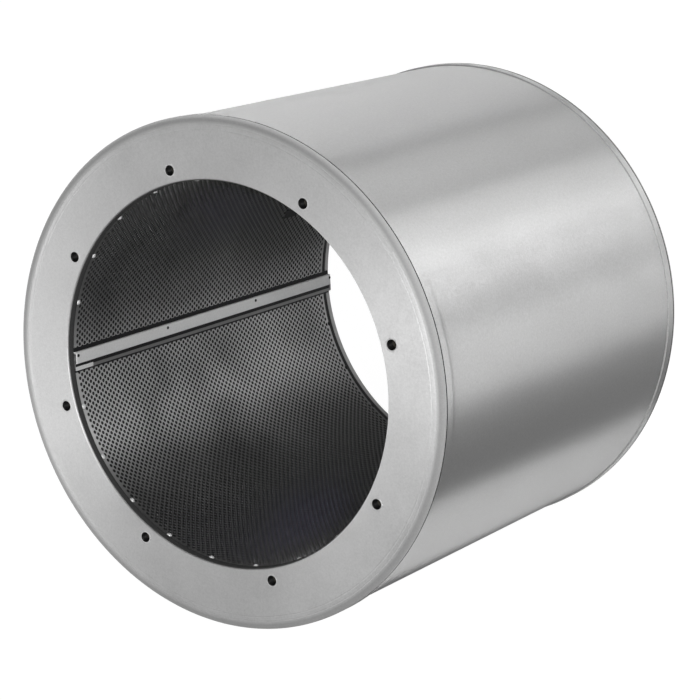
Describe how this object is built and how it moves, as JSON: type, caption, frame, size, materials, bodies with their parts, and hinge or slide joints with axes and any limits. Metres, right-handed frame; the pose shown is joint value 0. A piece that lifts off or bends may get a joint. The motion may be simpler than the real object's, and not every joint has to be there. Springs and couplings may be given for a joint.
{
  "type": "duct sound attenuator",
  "caption": "Round duct sound attenuator: a lined sheet metal casing round a perforated air passage, with a flat ring at each end for a bolted flange.",
  "frame": {"origin": "centre of the rear ring's face, on the air passage's axis; the part stands on this face", "axes": "+Z along the air passage's axis, from the rear ring to the front ring; +X through the first insert of each ring"},
  "size_m": [0.4149, 0.415, 0.38],
  "materials": {
    "end_ring": "galvanised, satin",
    "casing": "galvanised, satin",
    "liner": "galvanised, satin",
    "strip": "galvanised, satin",
    "insert": "zinc plated",
    "fleece": "matt",
    "wool": "matt"
  },
  "bodies": {
    "root": {"front_ring": "end_ring", "rear_ring": "end_ring", "outer_casing": "casing", "perforated_liner": "liner", "seam_strip": "strip", "glass_fleece": "fleece", "mineral_wool": "wool", "front_insert_1": "insert", "front_insert_2": "insert", "front_insert_3": "insert", "front_insert_4": "insert", "front_insert_5": "insert", "front_insert_6": "insert", "front_insert_7": "insert", "front_insert_8": "insert", "rear_insert_1": "insert", "rear_insert_2": "insert", "rear_insert_3": "insert", "rear_insert_4": "insert", "rear_insert_5": "insert", "rear_insert_6": "insert", "rear_insert_7": "insert", "rear_insert_8": "insert"}
  },
  "joints": []
}
